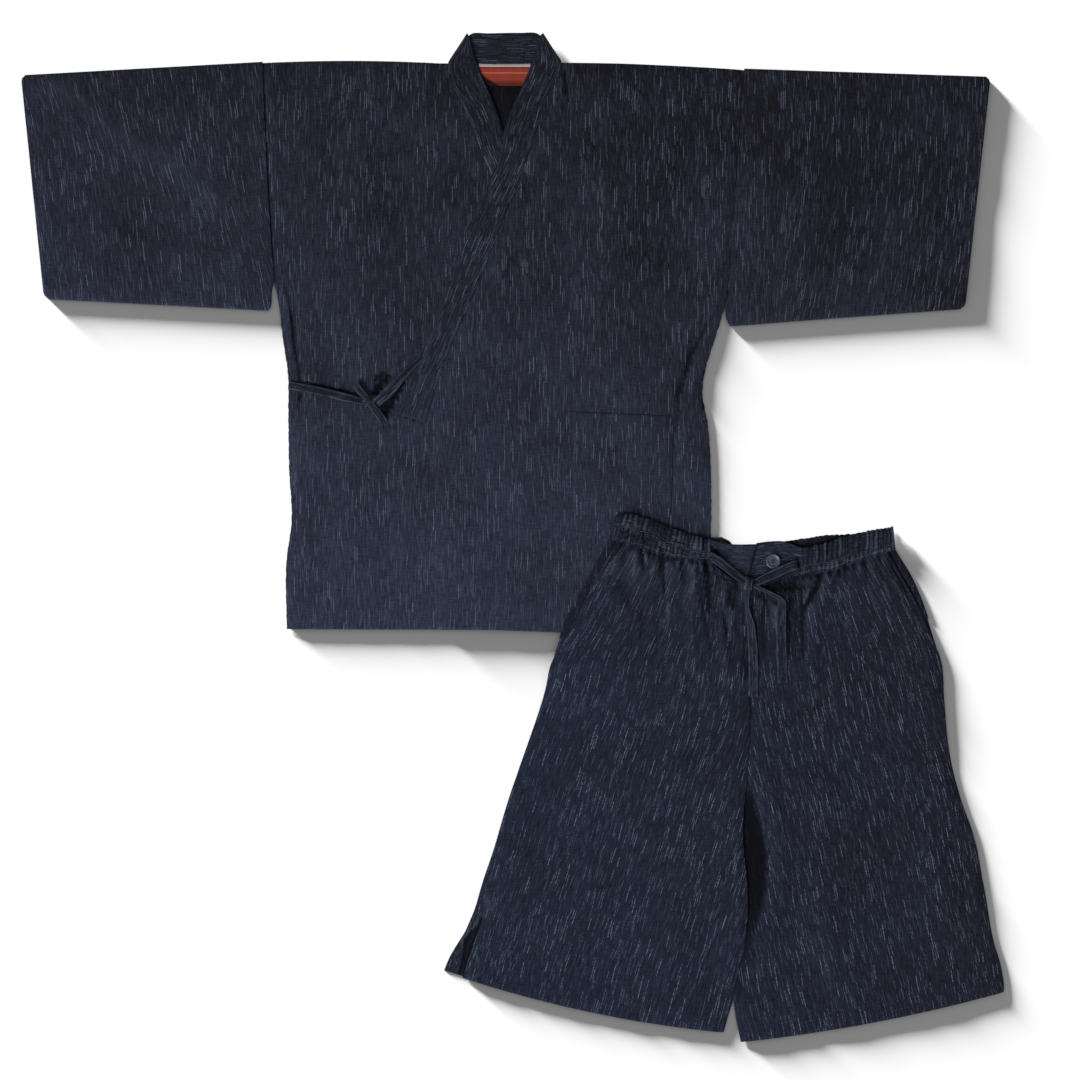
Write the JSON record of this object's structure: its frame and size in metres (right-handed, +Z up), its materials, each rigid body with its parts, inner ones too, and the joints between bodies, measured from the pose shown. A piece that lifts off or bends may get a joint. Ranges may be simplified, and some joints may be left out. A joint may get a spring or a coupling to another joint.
{
  "type": "jinbei set",
  "caption": "Wrap jacket with a tied front and wide sleeves, laid flat with drawstring shorts over its lower corner, in navy cotton with fine pale dashes.",
  "frame": {"origin": "middle of the laid set's outline, on the surface that it lies on", "axes": "+Z up from the surface, +Y towards the jacket's collar, +X towards the wearer's left"},
  "size_m": [1.2266, 1.263, 0.0207],
  "materials": {
    "cloth": "matt cotton, navy with pale dashes along the warp",
    "band": "matt cotton, the same cloth folded into a band",
    "inside": "matt cotton, inner side of the back, in shade",
    "label": "woven satin label, orange red, bare",
    "tape": "white woven tape",
    "button": "satin navy grey resin"
  },
  "bodies": {
    "root": {"jacket_back": "inside", "jacket_front_right": "cloth", "jacket_front_left": "cloth", "sleeve_right": "cloth", "sleeve_left": "cloth", "collar_back": "band", "collar_right": "band", "collar_left": "band", "patch_pocket": "cloth", "neck_label": "label", "label_strip": "tape", "side_tie": "band", "collar_tie": "band", "tie_ends": "band", "tie_knot": "band", "shorts_back_right": "cloth", "shorts_back_left": "cloth", "shorts_front_right": "cloth", "shorts_front_left": "cloth", "pocket_side_right": "cloth", "pocket_side_left": "cloth", "waistband_back": "inside", "waistband_right": "band", "waistband_left": "band", "button": "button", "drawstring_knot": "band", "drawstring_loops": "band", "drawstring_end_right": "band", "drawstring_end_left": "band"}
  },
  "joints": []
}
